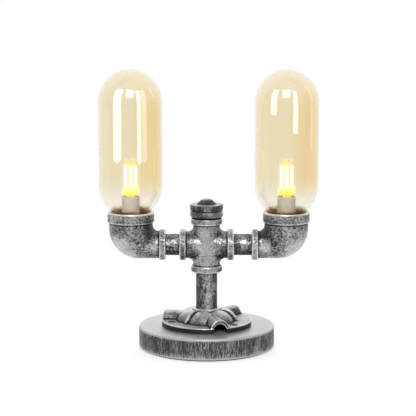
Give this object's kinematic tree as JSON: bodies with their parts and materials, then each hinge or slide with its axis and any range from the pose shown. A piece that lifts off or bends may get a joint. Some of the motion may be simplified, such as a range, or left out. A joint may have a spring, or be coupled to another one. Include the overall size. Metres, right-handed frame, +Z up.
{
  "type": "table lamp",
  "caption": "Pipe-fitting table lamp: round wooden base, floor flange, riser and cross with a switch knob, and a capsule glass shade over a bulb on each arm.",
  "frame": {"origin": "centre of the felt under the base, on the surface that the lamp stands on", "axes": "+Z up along the riser, +X to the right arm seen from the front, -Y towards the viewer, cord inlet at +Y"},
  "size_m": [0.218, 0.136, 0.2788],
  "materials": {
    "felt": "pressed felt",
    "base_wood": "black paint with brushed silver over it",
    "antique_iron": "black with brushed silver highlights",
    "steel": "satin",
    "brass": "satin",
    "black_nylon": "matte",
    "white_nylon": "matte",
    "lead_sheath": "matte",
    "ceramic": "unglazed",
    "silicone": "translucent",
    "amber_glass": "polished",
    "clear_glass": "polished",
    "light_strip": "lit"
  },
  "bodies": {
    "stand": {"felt_pad": "felt", "base_disc": "base_wood", "floor_flange": "antique_iron", "riser_pipe": "antique_iron", "pipe_cross": "antique_iron", "switch_plug": "antique_iron", "left_nipple": "antique_iron", "right_nipple": "antique_iron", "left_elbow": "antique_iron", "right_elbow": "antique_iron", "terminal_screw": "steel", "flange_screws": "steel", "switch_washer": "steel", "left_holder_plate": "steel", "right_holder_plate": "steel", "left_holder_screws": "steel", "right_holder_screws": "steel", "switch_nut": "brass", "left_contacts": "brass", "right_contacts": "brass", "cord_bush": "black_nylon", "cord_bush_nut": "black_nylon", "switch_body": "black_nylon", "terminal_block": "white_nylon", "switch_lead": "lead_sheath", "left_lead": "lead_sheath", "right_lead": "lead_sheath", "left_lampholder": "ceramic", "right_lampholder": "ceramic", "left_shade_seal": "silicone", "right_shade_seal": "silicone"},
    "knob": {"knob": "antique_iron", "knob_cap": "antique_iron", "knob_grub_screw": "steel", "switch_shaft": "steel"},
    "left_shade": {"left_shade": "amber_glass"},
    "left_bulb": {"left_bulb_base": "ceramic", "left_bulb_pins": "steel", "left_bulb_glass": "clear_glass", "left_bulb_frame": "steel", "left_light_strips": "light_strip"},
    "right_shade": {"right_shade": "amber_glass"},
    "right_bulb": {"right_bulb_base": "ceramic", "right_bulb_pins": "steel", "right_bulb_glass": "clear_glass", "right_bulb_frame": "steel", "right_light_strips": "light_strip"}
  },
  "joints": [
    {"name": "knob_turn", "type": "hinge", "parent": "stand", "child": "knob", "pos_m": [0, 0, 0.1327], "axis": [0, 0, 1], "range_deg": [0, 300]},
    {"name": "left_shade_lift", "type": "slide", "parent": "stand", "child": "left_shade", "axis": [0, 0, 1], "range_m": [0, 0.085]},
    {"name": "left_bulb_pull", "type": "slide", "parent": "stand", "child": "left_bulb", "axis": [0, 0, 1], "range_m": [0, 0.018]},
    {"name": "right_shade_lift", "type": "slide", "parent": "stand", "child": "right_shade", "axis": [0, 0, 1], "range_m": [0, 0.085]},
    {"name": "right_bulb_pull", "type": "slide", "parent": "stand", "child": "right_bulb", "axis": [0, 0, 1], "range_m": [0, 0.018]}
  ]
}
